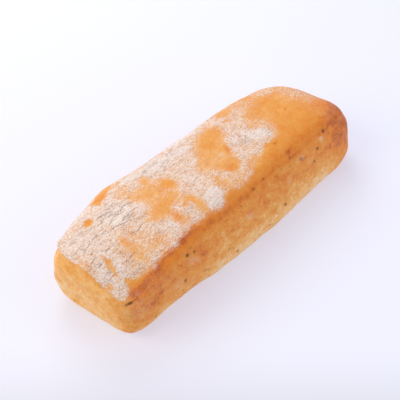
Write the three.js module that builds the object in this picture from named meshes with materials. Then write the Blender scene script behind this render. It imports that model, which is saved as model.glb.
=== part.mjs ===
// Ciabatta loaf, baked as one piece: long, low and flat-topped, with a square cut-looking near end,
// a rounder far end and a side that leans out towards its belly.
//
// Millimetres, +Z up. +X runs along the loaf from its square near end to its round far end, and -Y is
// its front side. The origin is the bottom centre of the bounding box, on the flat resting face.
//
// The loaf starts as a unit blank, a box whose coordinates u (along), v (across) and w (up) each run
// from -1 to 1. Every point of the blank is moved onto the crust by superellipse rounding, in plan and
// in section, and then by the swellings and slopes that a hand-shaped dough takes.

import * as THREE from "three";
import { mergeVertices } from "three/addons/utils/BufferGeometryUtils.js";

const { clamp, smoothstep } = THREE.MathUtils;

// Driving dimensions, in mm, of the loaf before it is shaped.
const LENGTH = 277;
const WIDTH = 91;
const HEIGHT = 60;
const EDGE_REACH = 40; // how far in from the outline the crust starts to round over
const BELT_SHARE = 0.45; // height of the widest line, as a share of the height
const UNDER_FILL = 1.06; // how far the blank's underside overshoots, which the flat base cuts off

// Superellipse exponents: 2 is a round corner, and higher values are squarer.
const PLAN_CORNER = { frontNear: 6.5, backNear: 3.55, frontFar: 3.15, backFar: 2.0 };
const TOP_EDGE = { side: 5.0, nearEnd: 6.6, farEnd: 2.8 };
const BOTTOM_EDGE = { side: 2.8, nearEnd: 4.1 };

// Shaping, in mm, each blended along the loaf from its near end over its middle to its far end.
const FRONT_SWELLING = { near: 2.2, middle: 6.0, far: -0.4 };
const BACK_SWELLING = { near: -10.8, middle: -0.9, far: -2.9 };
const TOP_RISE = { near: -2.2, middle: 0, far: -6.7 };
const TOP_TILT = { near: 1.1, middle: 0.3, far: -2.1 }; // rise of the back edge over the middle line
const FRONT_SLOPE = { near: 0.35, middle: 18.3, far: 18.3 }; // set-back of the shoulder from the foot
const BACK_SLOPE = 3.4;

const DOME_RISE = 4.1; // rise of the middle of the top
const BACK_LUMP = { size: 8.8, place: -0.55, spread: 0.27 }; // place and spread in half-lengths
const CORNER_SAG = 14.9; // how far the near front corner of the top hangs down
const NEAR_END_SKEW = { top: 4.4, base: 6.0 }; // how far the near end's back corner is drawn out
const NEAR_END_OVERHANG = 2.2;
const FAR_END_SKEW = -5.0;
const FAR_END_OVERHANG = -1.3;
const SLOPE_PIVOT = 0.4; // share of the height at which the slopes leave the crust where it is

// Facets along, across and up the blank.
const FACETS = { along: 40, across: 16, up: 10 };

const CRUST_COLOUR = 0xd9a066;

/** Blends three values along the loaf, at t = -1 (near end), 0 (middle) and 1 (far end). */
function alongLoaf(values, t) {
  const nearShare = smoothstep(-t, 0, 1);
  const farShare = smoothstep(t, 0, 1);
  return values.middle * (1 - nearShare - farShare) + values.near * nearShare + values.far * farShare;
}

/** Factor that pulls a point of a square in onto the superellipse of the same reach. */
function roundingFactor(a, b, exponent) {
  const norm = (Math.abs(a) ** exponent + Math.abs(b) ** exponent) ** (1 / exponent);
  return norm > 0 ? Math.max(Math.abs(a), Math.abs(b)) / norm : 1;
}

/** Superellipse exponent of the plan outline at a point of the blank. */
function planExponent(u, v) {
  const farShare = smoothstep(u, -0.6, 0.6);
  const backShare = smoothstep(v, -0.5, 0.5);
  const front = PLAN_CORNER.frontNear * (1 - farShare) + PLAN_CORNER.frontFar * farShare;
  const back = PLAN_CORNER.backNear * (1 - farShare) + PLAN_CORNER.backFar * farShare;
  return front * (1 - backShare) + back * backShare;
}

/** Superellipse exponent of the upright section that faces along the given plan direction. */
function sectionExponent(directionX, isUpperHalf) {
  const nearShare = directionX < 0 ? directionX ** 4 : 0;
  const farShare = directionX > 0 ? directionX ** 2 : 0;
  if (isUpperHalf) {
    const side = TOP_EDGE.side * (1 - nearShare - farShare);
    return side + TOP_EDGE.nearEnd * nearShare + TOP_EDGE.farEnd * farShare;
  }
  return BOTTOM_EDGE.side * (1 - nearShare) + BOTTOM_EDGE.nearEnd * nearShare;
}

/** Moves a point of the blank onto the plain loaf: rounded corners, rounded edges and a flat base. */
function roundBlank(u, v, w) {
  const spineX = clamp((u * LENGTH) / 2, -(LENGTH / 2 - EDGE_REACH), LENGTH / 2 - EDGE_REACH);
  const spineY = clamp((v * WIDTH) / 2, -(WIDTH / 2 - EDGE_REACH), WIDTH / 2 - EDGE_REACH);
  const offset = new THREE.Vector2((u * LENGTH) / 2 - spineX, (v * WIDTH) / 2 - spineY);
  const outward = Math.max(Math.abs(offset.x), Math.abs(offset.y)) / EDGE_REACH;
  offset.multiplyScalar(roundingFactor(offset.x, offset.y, planExponent(u, v)));

  const directionX = offset.length() > 0 ? offset.x / offset.length() : 0;
  const rounding = roundingFactor(outward, w, sectionExponent(directionX, w > 0));
  offset.multiplyScalar(rounding);

  const belt = BELT_SHARE * HEIGHT;
  const rise = w > 0 ? w * rounding * (HEIGHT - belt) : w * rounding * belt * UNDER_FILL;
  return new THREE.Vector3(spineX + offset.x, spineY + offset.y, Math.max(belt + rise, 0));
}

/** Adds to a point of the plain loaf what proving, handling and baking do to the dough. */
function shapeByHand(point) {
  const t = point.x / (LENGTH / 2);
  const s = point.y / (WIDTH / 2);
  const level = point.z / HEIGHT;
  const frontShare = clamp(-s, 0, 1);
  const backShare = clamp(s, 0, 1);

  const doming = level ** 2 * (1 - Math.min(s ** 2, 1)) * (1 - Math.min(t ** 4, 1));
  const sag = smoothstep(-t, 0.5, 1) * smoothstep(-s, 0, 1);
  point.z += DOME_RISE * doming;
  point.z += level * (alongLoaf(TOP_RISE, t) + s * alongLoaf(TOP_TILT, t) - CORNER_SAG * sag);

  const lump = BACK_LUMP.size * Math.exp(-(((t - BACK_LUMP.place) / BACK_LUMP.spread) ** 2));
  point.y -= frontShare * alongLoaf(FRONT_SWELLING, t);
  point.y += backShare * (alongLoaf(BACK_SWELLING, t) + lump);
  point.y += (level - SLOPE_PIVOT) * (frontShare * alongLoaf(FRONT_SLOPE, t) - backShare * BACK_SLOPE);

  const nearSkew = NEAR_END_SKEW.top * level + NEAR_END_SKEW.base * (1 - level);
  point.x -= smoothstep(-t, 0, 1) ** 3 * (nearSkew * s + NEAR_END_OVERHANG * (level - 0.5));
  point.x += smoothstep(t, 0, 1) ** 3 * (FAR_END_SKEW * s + FAR_END_OVERHANG * (level - 0.5));
  return point;
}

/** Builds the closed crust surface, with the bottom centre of its bounding box at the origin. */
function loafGeometry() {
  const blank = new THREE.BoxGeometry(2, 2, 2, FACETS.along, FACETS.across, FACETS.up);
  blank.deleteAttribute("normal");
  blank.deleteAttribute("uv");
  const geometry = mergeVertices(blank);
  const positions = geometry.getAttribute("position");
  for (let i = 0; i < positions.count; i += 1) {
    const crust = shapeByHand(roundBlank(positions.getX(i), positions.getY(i), positions.getZ(i)));
    positions.setXYZ(i, crust.x, crust.y, crust.z);
  }
  geometry.computeBoundingBox();
  const middle = geometry.boundingBox.getCenter(new THREE.Vector3());
  geometry.translate(-middle.x, -middle.y, -geometry.boundingBox.min.z);
  geometry.computeVertexNormals();
  return geometry;
}

const crustMaterial = new THREE.MeshStandardMaterial({
  name: "floured_crust",
  color: CRUST_COLOUR,
  roughness: 0.85,
  metalness: 0,
});

const loaf = new THREE.Mesh(loafGeometry(), crustMaterial);
loaf.name = "loaf";

const ciabatta = new THREE.Group();
ciabatta.name = "ciabatta";
ciabatta.add(loaf);

export default ciabatta;
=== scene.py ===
"""Ciabatta loaf: one baked piece, its floured crust, and the pale table and soft light around it."""

import logging
import math
from dataclasses import dataclass, field
from enum import Enum
from typing import Any, ClassVar

import bmesh
import bpy
import numpy as np
from mathutils import Euler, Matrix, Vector, noise

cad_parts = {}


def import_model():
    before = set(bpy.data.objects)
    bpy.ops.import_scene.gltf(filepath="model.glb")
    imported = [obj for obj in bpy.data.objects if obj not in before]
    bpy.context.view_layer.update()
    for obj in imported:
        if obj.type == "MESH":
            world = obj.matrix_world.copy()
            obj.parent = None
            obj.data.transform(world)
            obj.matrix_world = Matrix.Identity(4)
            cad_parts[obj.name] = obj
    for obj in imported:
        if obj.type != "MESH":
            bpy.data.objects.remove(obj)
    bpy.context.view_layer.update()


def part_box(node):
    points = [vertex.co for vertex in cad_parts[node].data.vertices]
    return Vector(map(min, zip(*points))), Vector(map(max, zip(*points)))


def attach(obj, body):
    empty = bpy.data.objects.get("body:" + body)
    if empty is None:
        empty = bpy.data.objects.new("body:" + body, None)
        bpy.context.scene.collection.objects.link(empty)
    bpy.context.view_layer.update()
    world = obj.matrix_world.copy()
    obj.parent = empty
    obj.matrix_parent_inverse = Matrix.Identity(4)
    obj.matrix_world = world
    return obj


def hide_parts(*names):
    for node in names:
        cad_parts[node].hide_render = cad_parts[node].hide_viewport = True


LOG = logging.getLogger("ciabatta")

MM = 0.001

# The sRGB curve: a straight toe, then a power.
SRGB_TOE = 0.04045
SRGB_TOE_SLOPE = 12.92
SRGB_OFFSET = 0.055
SRGB_POWER = 2.4

# How far apart the stretches of noise are that two following seeds pick.
SEED_STEP = 31.7
TINY = 1e-9


class Paint(Enum):
    """Names of the point attributes that carry what was painted on the crust."""

    FLOUR = "flour_dusting"
    BAKE_AND_SHADE = "browning"
    MOTTLE = "mottling"
    CRACK = "cracks"
    CRACK_ASIDE = "distance_to_crack"
    CREASED = "creasing"
    PIT = "pits"
    PALE = "pale_blush"


def linear(hex_colour: int) -> tuple[float, float, float, float]:
    """Turns an sRGB hex colour into the linear colour that a shader takes.

    Args:
        hex_colour: The colour as 0xRRGGBB.

    Returns:
        Linear red, green and blue, with an alpha of 1.
    """
    channels = [(hex_colour >> shift & 0xFF) / 0xFF for shift in (16, 8, 0)]
    red, green, blue = (
        c / SRGB_TOE_SLOPE if c <= SRGB_TOE else ((c + SRGB_OFFSET) / (1 + SRGB_OFFSET)) ** SRGB_POWER
        for c in channels
    )
    return (red, green, blue, 1.0)


def smooth_step(low: float, high: float, value: np.ndarray) -> np.ndarray:
    """Rises smoothly from 0 at low to 1 at high, and falls where low is above high.

    Args:
        low: The value at which the result is 0.
        high: The value at which the result is 1.
        value: The values to grade.

    Returns:
        The graded values, each from 0 to 1.
    """
    share = np.clip((value - low) / (high - low), 0, 1)
    return share * share * (3 - 2 * share)


def add_node(
    tree: bpy.types.NodeTree, kind: str, inputs: dict, output: int | str = 0, **settings: Any
) -> bpy.types.NodeSocket:
    """Adds a shader node and sets it up.

    Args:
        tree: The node tree that the node goes in.
        kind: The node's type name, without its leading "ShaderNode".
        inputs: Input names or numbers, each with a value or with the output that feeds it.
        output: Name or number of the output that is wanted.
        settings: Properties of the node and their values.

    Returns:
        The wanted output of the new node.
    """
    node = tree.nodes.new("ShaderNode" + kind)
    for name, value in settings.items():
        setattr(node, name, value)
    for name, value in inputs.items():
        if isinstance(value, bpy.types.NodeSocket):
            tree.links.new(value, node.inputs[name])
        else:
            node.inputs[name].default_value = value
    return node.outputs[output]


@dataclass(frozen=True)
class Fade:
    """A smooth change from nothing at one place to the full amount at another."""

    none: float
    full: float
    amount: float = 1.0

    def at(self, place: np.ndarray) -> np.ndarray:
        """Gives the amount at each place."""
        return self.amount * smooth_step(self.none, self.full, place)


@dataclass(frozen=True)
class Ridge:
    """A bell-shaped ridge, which falls to about a third of its height one spread from its top."""

    top: float
    spread: float
    height: float = 1.0

    def at(self, place: np.ndarray) -> np.ndarray:
        """Gives the height of the ridge at each place."""
        return self.height * np.exp(-(((place - self.top) / self.spread) ** 2))


@dataclass(frozen=True)
class Lumps:
    """Smooth random lumps, with their size in mm and how much longer they are along x, y and z."""

    size: float
    seed: int
    height: float = 1.0
    stretch: tuple[float, float, float] = (1, 1, 1)

    def at(self, points: np.ndarray) -> np.ndarray:
        """Gives the height of the lumps.

        Args:
            points: The points, in mm, one per row.

        Returns:
            One height for each point.
        """
        places = points / (self.size * np.array(self.stretch, dtype=float)) + self.seed * SEED_STEP
        values = (noise.noise(place) for place in places.tolist())
        return self.height * np.fromiter(values, float, len(points))


@dataclass(frozen=True)
class GrooveLine:
    """Height over the table, in mm, of the shallow groove that bows along under the front shoulder."""

    height: float
    bow: float = 0.00045
    middle: float = 10.0

    def at(self, x: np.ndarray) -> np.ndarray:
        """Gives the height of the groove at places along the loaf."""
        return self.height - self.bow * (x - self.middle) ** 2


@dataclass(frozen=True)
class AlongLoaf:
    """A size, in mm, at the near end, in the middle and at the far end of the loaf."""

    near: float
    middle: float
    far: float

    def at(self, along: np.ndarray) -> np.ndarray:
        """Blends the three sizes.

        Args:
            along: Places along the loaf, from -1 at the near end to 1 at the far end.

        Returns:
            The size at each place.
        """
        near_share = smooth_step(0, -1, along)
        far_share = smooth_step(0, 1, along)
        return self.middle + (self.near - self.middle) * near_share + (self.far - self.middle) * far_share


@dataclass(frozen=True)
class Patch:
    """A soft-edged oval on the crust, in mm on the plan (x, y) or on the front side (x, z)."""

    x: float
    y: float
    half_length: float
    half_width: float
    turn: float = 0.0
    strength: float = 1.0
    softness: float = 0.35

    def cover(self, across: np.ndarray, up: np.ndarray) -> np.ndarray:
        """Tells how much of the patch lies at each place.

        Args:
            across: First coordinates of the places, in mm.
            up: Second coordinates of the places, in mm.

        Returns:
            0 outside the patch, its strength in its middle, and between the two at its soft edge.
        """
        angle = math.radians(self.turn)
        along = (across - self.x) * math.cos(angle) + (up - self.y) * math.sin(angle)
        aside = (up - self.y) * math.cos(angle) - (across - self.x) * math.sin(angle)
        reach = np.hypot(along / self.half_length, aside / self.half_width)
        return self.strength * smooth_step(1 + self.softness, 1 - self.softness, reach)


def total(shapes: tuple, places: np.ndarray) -> np.ndarray:
    """Adds up fades, ridges or lumps at the same places."""
    return sum(shape.at(places) for shape in shapes)


def strongest(patches: tuple[Patch, ...], across: np.ndarray, up: np.ndarray) -> np.ndarray:
    """Lays patches over each other, where the strongest shows.

    Args:
        patches: The patches.
        across: First coordinates of the places, in mm.
        up: Second coordinates of the places, in mm.

    Returns:
        The cover of the strongest patch at each place, and 0 outside them all.
    """
    cover = np.zeros(len(across))
    for patch in patches:
        cover = np.maximum(cover, patch.cover(across, up))
    return cover


@dataclass(frozen=True)
class CrackLine:
    """A fine crack in the floured skin, from one plan point to another, in mm."""

    start: tuple[float, float]
    end: tuple[float, float]
    strength: float = 1.0
    wander: float = 1.0
    wave: float = 2.6
    wave_shift: float = 2.1
    tip: float = 2.0
    beside: Fade = Fade(2.4, 1.2)

    def trace(self, x: np.ndarray, y: np.ndarray, number: int) -> tuple[np.ndarray, np.ndarray]:
        """Tells how near the crack each place is.

        Args:
            x: Plan coordinates along the loaf, in mm.
            y: Plan coordinates across the loaf, in mm.
            number: The crack's own number, which shifts its wandering.

        Returns:
            How open the crack is along its length, falling to 0 at its tips and well beside it,
            and the signed distance to the line of the crack, in mm.
        """
        start = np.array(self.start)
        run = np.array(self.end) - start
        length = float(np.hypot(*run))
        along = ((x - start[0]) * run[0] + (y - start[1]) * run[1]) / length
        aside = ((y - start[1]) * run[0] - (x - start[0]) * run[1]) / length
        aside = aside - self.wander * np.sin(along / self.wave + number * self.wave_shift)
        tips = smooth_step(-self.tip, self.tip, along)
        tips *= smooth_step(length + self.tip, length - self.tip, along)
        return self.strength * tips * self.beside.at(np.abs(aside)), aside


@dataclass(frozen=True)
class LoafForm:
    """The plain shape of the loaf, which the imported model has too, in mm."""

    length: float = 277
    width: float = 91
    height: float = 60
    edge_reach: float = 40
    belt_share: float = 0.45
    under_fill: float = 1.06
    front_near_corner: float = 6.5
    back_near_corner: float = 3.55
    front_far_corner: float = 3.15
    back_far_corner: float = 2.0
    far_blend: Fade = Fade(-0.6, 0.6)
    back_blend: Fade = Fade(-0.5, 0.5)
    top_side_edge: float = 5.0
    top_near_edge: float = 6.6
    top_far_edge: float = 2.8
    bottom_side_edge: float = 2.8
    bottom_near_edge: float = 4.1
    front_swelling: AlongLoaf = AlongLoaf(2.2, 6.0, -0.4)
    back_swelling: AlongLoaf = AlongLoaf(-10.8, -0.9, -2.9)
    top_rise: AlongLoaf = AlongLoaf(-2.2, 0, -6.7)
    top_tilt: AlongLoaf = AlongLoaf(1.1, 0.3, -2.1)
    front_slope: AlongLoaf = AlongLoaf(0.35, 18.3, 18.3)
    back_slope: float = 3.4
    dome_rise: float = 4.1
    back_lump: Ridge = Ridge(-0.55, 0.27, 8.8)
    corner_sag: float = 14.9
    sag_along: Fade = Fade(-0.5, -1)
    near_skew_top: float = 4.4
    near_skew_base: float = 6.0
    near_overhang: float = 2.2
    far_skew: float = -5.0
    far_overhang: float = -1.3
    to_near_or_front: Fade = Fade(0, -1)
    to_far: Fade = Fade(0, 1)
    slope_pivot: float = 0.4

    @staticmethod
    def rounding(a: np.ndarray, b: np.ndarray, exponent: np.ndarray) -> np.ndarray:
        """Factor that pulls the points of a square in onto the superellipse of the same reach.

        Args:
            a: First coordinates, from the middle of the square.
            b: Second coordinates.
            exponent: 2 for a circle, and more for squarer corners.

        Returns:
            The factor for each point.
        """
        norm = (np.abs(a) ** exponent + np.abs(b) ** exponent) ** (1 / exponent)
        reach = np.maximum(np.abs(a), np.abs(b))
        return np.where(norm > 0, reach / np.maximum(norm, TINY), 1.0)

    def round_blank(self, blank: np.ndarray) -> np.ndarray:
        """Moves the points of the blank onto the plain loaf: rounded edges and a flat base.

        Args:
            blank: Points of a cube from -1 to 1: along, across and up.

        Returns:
            The points on the plain loaf, in mm.
        """
        along, across, up = blank.T
        straight_x = self.length / 2 - self.edge_reach
        straight_y = self.width / 2 - self.edge_reach
        spine_x = np.clip(along * self.length / 2, -straight_x, straight_x)
        spine_y = np.clip(across * self.width / 2, -straight_y, straight_y)
        out_x = along * self.length / 2 - spine_x
        out_y = across * self.width / 2 - spine_y
        outward = np.maximum(np.abs(out_x), np.abs(out_y)) / self.edge_reach

        far_share = self.far_blend.at(along)
        back_share = self.back_blend.at(across)
        front = self.front_near_corner * (1 - far_share) + self.front_far_corner * far_share
        back = self.back_near_corner * (1 - far_share) + self.back_far_corner * far_share
        plan = self.rounding(out_x, out_y, front * (1 - back_share) + back * back_share)
        out_x = out_x * plan
        out_y = out_y * plan

        # The near end turns sharply into the sides, and the far end gently.
        direction = out_x / np.maximum(np.hypot(out_x, out_y), TINY)
        near_share = np.where(direction < 0, direction**4, 0)
        end_share = np.where(direction > 0, direction**2, 0)
        top_edge = self.top_side_edge * (1 - near_share - end_share)
        top_edge += self.top_near_edge * near_share + self.top_far_edge * end_share
        bottom_edge = self.bottom_side_edge * (1 - near_share) + self.bottom_near_edge * near_share
        section = self.rounding(outward, up, np.where(up > 0, top_edge, bottom_edge))

        belt = self.belt_share * self.height
        rise = np.where(up > 0, self.height - belt, belt * self.under_fill) * up * section
        return np.stack(
            [spine_x + out_x * section, spine_y + out_y * section, np.maximum(belt + rise, 0)], axis=1
        )

    def shape_by_hand(self, points: np.ndarray) -> np.ndarray:
        """Adds what proving, handling and baking do to the dough.

        Args:
            points: Points on the plain loaf, in mm.

        Returns:
            The same points on the shaped loaf.
        """
        x, y, z = points.T.copy()
        along = x / (self.length / 2)
        aside = y / (self.width / 2)
        level = z / self.height
        front_share = np.clip(-aside, 0, 1)
        back_share = np.clip(aside, 0, 1)

        doming = level**2 * (1 - np.minimum(aside**2, 1)) * (1 - np.minimum(along**4, 1))
        sag = self.sag_along.at(along) * self.to_near_or_front.at(aside)
        z += self.dome_rise * doming
        z += level * (self.top_rise.at(along) + aside * self.top_tilt.at(along) - self.corner_sag * sag)

        slope = front_share * self.front_slope.at(along) - back_share * self.back_slope
        y -= front_share * self.front_swelling.at(along)
        y += back_share * (self.back_swelling.at(along) + self.back_lump.at(along))
        y += (level - self.slope_pivot) * slope

        # Skews turn the ends and overhangs lean them; both grow with the cube of the way to the end.
        near_skew = self.near_skew_top * level + self.near_skew_base * (1 - level)
        near_way = self.to_near_or_front.at(along) ** 3
        far_way = self.to_far.at(along) ** 3
        x -= near_way * (near_skew * aside + self.near_overhang * (level - 0.5))
        x += far_way * (self.far_skew * aside + self.far_overhang * (level - 0.5))
        return np.stack([x, y, z], axis=1)

    def place(self, blank: np.ndarray, low: Vector, high: Vector) -> np.ndarray:
        """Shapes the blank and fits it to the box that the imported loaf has.

        Args:
            blank: Points of a cube from -1 to 1.
            low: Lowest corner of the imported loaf, in metres.
            high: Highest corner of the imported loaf, in metres.

        Returns:
            The points on the shaped loaf, in mm.
        """
        points = self.shape_by_hand(self.round_blank(blank))
        box_low = np.array(low) / MM
        box_size = np.array(high) / MM - box_low
        own_low = points.min(axis=0)
        return box_low + (points - own_low) * box_size / (points.max(axis=0) - own_low)


@dataclass
class CrustSurface:
    """The points of the crust while they are sculpted and painted, in mm, and the mesh they are in."""

    TOP_FACE: ClassVar[float] = 0.999  # the blank's top face is above this
    SIDE_DEPTH: ClassVar[float] = 27.0  # mm down the side for one unit of the blank

    mesh: bpy.types.Mesh
    blank: np.ndarray = field(init=False)
    points: np.ndarray = field(init=False)
    normals: np.ndarray = field(init=False)

    def __post_init__(self) -> None:
        """Reads the points of the blank."""
        self.blank = self.read(self.mesh.vertices, "co")

    @staticmethod
    def read(rows: bpy.types.bpy_prop_collection, name: str) -> np.ndarray:
        """Reads one vector from each row of the mesh's data.

        Args:
            rows: The mesh's rows, such as its vertices.
            name: The name of the vector in a row.

        Returns:
            The vectors, one in each row of the array.
        """
        flat = np.empty(len(rows) * 3)
        rows.foreach_get(name, flat)
        return flat.reshape(-1, 3)

    def move_to(self, points: np.ndarray) -> None:
        """Moves the mesh's points and reads the new normals.

        Args:
            points: The places to move them to, in mm.
        """
        self.points = points
        self.mesh.vertices.foreach_set("co", (points * MM).ravel())
        self.mesh.update()
        self.normals = self.read(self.mesh.vertex_normals, "vector")

    def store(self, paint: Paint, values: np.ndarray) -> None:
        """Stores one value for each point of the mesh.

        Args:
            paint: The attribute to store the values in.
            values: The values, one for each point.
        """
        attribute = self.mesh.attributes.new(paint.value, "FLOAT", "POINT")
        attribute.data.foreach_set("value", values.astype(np.float32))

    @property
    def x(self) -> np.ndarray:
        """Places along the loaf."""
        return self.points[:, 0]

    @property
    def y(self) -> np.ndarray:
        """Places across the loaf."""
        return self.points[:, 1]

    @property
    def z(self) -> np.ndarray:
        """Heights over the table."""
        return self.points[:, 2]

    @property
    def on_top(self) -> np.ndarray:
        """1 on the top of the loaf, inside the crease that runs round it."""
        return (self.blank[:, 2] > self.TOP_FACE).astype(float)

    @property
    def below_crease(self) -> np.ndarray:
        """How far down the side each point is from the crease round the top."""
        return (1 - self.blank[:, 2]) * self.SIDE_DEPTH


@dataclass(frozen=True)
class Sculpting:
    """What hands and oven do to the plain loaf: lumps, groove, belly, wrinkles, lip and tucks, in mm."""

    off_base: Fade = Fade(0.5, 6)
    faces_front: Fade = Fade(0.2, 0.7)
    faces_near: Fade = Fade(0.3, 0.8)
    faces_up: Fade = Fade(0.3, 0.8)

    lumps: tuple[Lumps, ...] = (Lumps(46, 1, 1.1), Lumps(19, 2, 0.45, (1.3, 1, 1)))
    dimples: tuple[Lumps, ...] = (Lumps(5, 4, 0.14), Lumps(2.6, 5, 0.08))
    side_lumps: Lumps = Lumps(9, 3, 0.6, (1.6, 1, 1))
    groove_line: GrooveLine = GrooveLine(50.5)
    groove: Ridge = Ridge(0, 3.2, -0.9)
    groove_part: Fade = Fade(-100, -30)
    belly: Ridge = Ridge(37, 9, 0.7)
    end_fold_height: float = 3.1
    end_fold_depth: float = 0.35
    end_fold_wander: Lumps = Lumps(22, 6, 2.4)
    end_lumps: Lumps = Lumps(16, 7, 0.5, (1, 2, 1))
    wrinkles: Lumps = Lumps(2.4, 8, 0.16, (2.6, 1, 1))
    wrinkled_part: Fade = Fade(150, 40)

    # Places where the top stands up a little; the strength is the height.
    top_swellings: tuple[Patch, ...] = (
        Patch(-68, 46, 16, 12, strength=1.8, softness=0.9),
        Patch(65, 42, 26, 14, strength=2.2, softness=0.9),
        Patch(116, 10, 20, 26, strength=2.0, softness=0.9),
    )
    swollen_part: Fade = Fade(10, 40)

    # Places where the front side swells out or draws in, as x and z; the strength is the depth.
    foot_swellings: tuple[Patch, ...] = (
        Patch(-112, 8, 16, 16, strength=0.9, softness=0.9),
        Patch(-58, 10, 14, 12, strength=-0.6, softness=0.9),
    )

    # The lip of the floured skin over the near end, and the tuck under it.
    lip: Ridge = Ridge(0, 2.4)
    lip_push: tuple[float, float, float] = (-0.35, 0, 0.3)
    tuck: Ridge = Ridge(0.86, 0.09, 0.2)

    # How the near back corner is pushed along x and y at each height of the blank.
    corner_across: Fade = Fade(0.15, 0.9)
    corner_along: Fade = Fade(-0.72, -1)
    corner_x: tuple[Fade | Ridge, ...] = (Fade(0.7, 1, 0.8), Ridge(0.7, 0.2, 2.6), Ridge(0.2, 0.35, -0.6))
    corner_y: tuple[Fade | Ridge, ...] = (Fade(0.8, 1, -0.4), Ridge(0.7, 0.2, -1.8), Ridge(0.2, 0.5, -0.6))

    # The tip of that corner, which the floured skin draws out.
    tip_across: Fade = Fade(0.76, 1)
    tip_along: Fade = Fade(-0.88, -0.99)
    tip_up: Fade = Fade(0.86, 1)
    tip_push: tuple[float, float, float] = (-1.0, 1.9, 1.3)

    # The foot of the near end.
    foot_along: Fade = Fade(-0.93, -1)
    foot_level: Ridge = Ridge(5, 6)
    foot_across: Fade = Fade(22, 0)
    foot_push: tuple[float, float, float] = (-1.1, 0, 0)

    def sculpt(self, s: CrustSurface, form: LoafForm) -> None:
        """Sculpts the crust.

        Args:
            s: The crust, as the plain loaf.
            form: The form of the plain loaf.
        """
        along, across, up = s.blank.T
        front = self.faces_front.at(-s.normals[:, 1])
        near_end = self.faces_near.at(-s.normals[:, 0])
        side = 1 - self.faces_up.at(s.normals[:, 2])

        lift = total(self.lumps + self.dimples, s.points) + side * self.side_lumps.at(s.points)
        lift += front * self.groove.at(s.z - self.groove_line.at(s.x)) * self.groove_part.at(s.x)
        lift += front * self.belly.at(s.z)
        folds = np.sin(s.z / self.end_fold_height + self.end_fold_wander.at(s.points))
        lift += near_end * (self.end_fold_depth * folds + self.end_lumps.at(s.points))
        lift += s.on_top * self.wrinkled_part.at(s.x) * self.wrinkles.at(s.points)
        for swelling in self.top_swellings:
            lift += swelling.cover(s.x, s.y) * self.swollen_part.at(s.z)
        for swelling in self.foot_swellings:
            lift += swelling.cover(s.x, s.z) * front
        points = s.points + s.normals * (lift * self.off_base.at(s.z))[:, None]

        off_crease = np.hypot((1 + along) * form.length / 2, (1 - up) * form.height / 2)
        corner = self.corner_across.at(across) * self.corner_along.at(along)
        tip = self.tip_across.at(across) * self.tip_along.at(along) * self.tip_up.at(up)
        foot = self.foot_along.at(along) * self.foot_level.at(s.z) * self.foot_across.at(s.y)
        points[:, 0] += near_end * self.tuck.at(up) + corner * total(self.corner_x, up)
        points[:, 1] += corner * total(self.corner_y, up)
        points += self.lip.at(off_crease)[:, None] * self.lip_push
        points += tip[:, None] * self.tip_push + foot[:, None] * self.foot_push
        s.move_to(points)


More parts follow.
